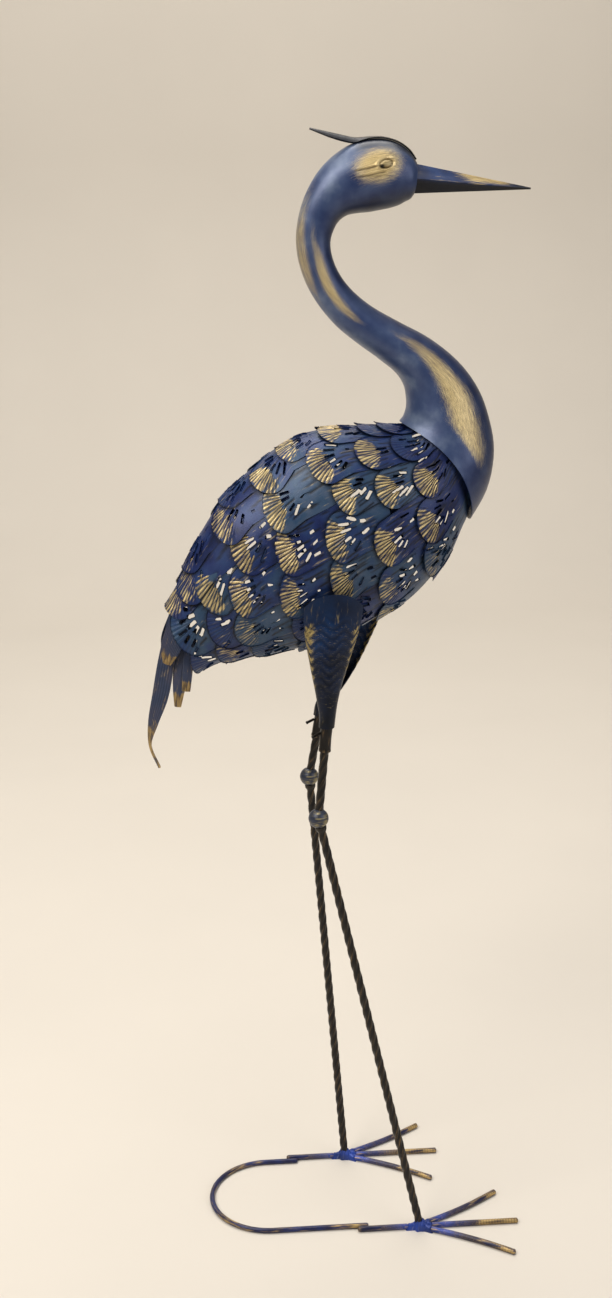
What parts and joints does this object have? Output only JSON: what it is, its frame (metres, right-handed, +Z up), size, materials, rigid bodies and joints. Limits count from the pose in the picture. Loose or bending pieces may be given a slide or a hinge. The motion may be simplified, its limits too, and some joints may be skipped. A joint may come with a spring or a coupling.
{
  "type": "crane garden statue",
  "caption": "Standing metal crane with a hollow S-curved neck, a body of overlapping pressed feathers, a tail of plumes, twisted bar legs, splayed feet and a ground loop behind.",
  "frame": {"origin": "middle of the bounding box, on the ground that the feet and the loop stand on", "axes": "+X the way the beak points, +Y the bird's left, +Z up"},
  "size_m": [0.3771, 0.246, 1.1067],
  "materials": {
    "blue_paint": "satin dark blue paint, dry-brushed with antique gold",
    "black_gold_paint": "satin brown-black paint with rubbed gold"
  },
  "bodies": {
    "root": {"beak": "blue_paint", "crest": "blue_paint", "feather_row_1": "blue_paint", "feather_row_2": "blue_paint", "feather_row_3": "blue_paint", "feather_row_4": "blue_paint", "feather_row_5": "blue_paint", "feather_row_6": "blue_paint", "feather_row_7": "blue_paint", "left_ankle_weld": "blue_paint", "left_knee_ball": "black_gold_paint", "left_leg_screw": "black_gold_paint", "left_leg_socket": "black_gold_paint", "left_lower_leg": "black_gold_paint", "left_thigh": "blue_paint", "left_toe_back": "blue_paint", "left_toe_inner": "blue_paint", "left_toe_middle": "blue_paint", "left_toe_outer": "blue_paint", "left_upper_leg": "black_gold_paint", "neck_and_head": "blue_paint", "rear_loop": "blue_paint", "right_ankle_weld": "blue_paint", "right_knee_ball": "black_gold_paint", "right_leg_screw": "black_gold_paint", "right_leg_socket": "black_gold_paint", "right_lower_leg": "black_gold_paint", "right_thigh": "blue_paint", "right_toe_back": "blue_paint", "right_toe_inner": "blue_paint", "right_toe_middle": "blue_paint", "right_toe_outer": "blue_paint", "right_upper_leg": "black_gold_paint", "tail_plume_centre": "blue_paint", "tail_plume_left_cover": "blue_paint", "tail_plume_left_inner": "blue_paint", "tail_plume_left_lower": "blue_paint", "tail_plume_right_cover": "blue_paint", "tail_plume_right_inner": "blue_paint", "tail_plume_right_lower": "blue_paint"}
  },
  "joints": []
}
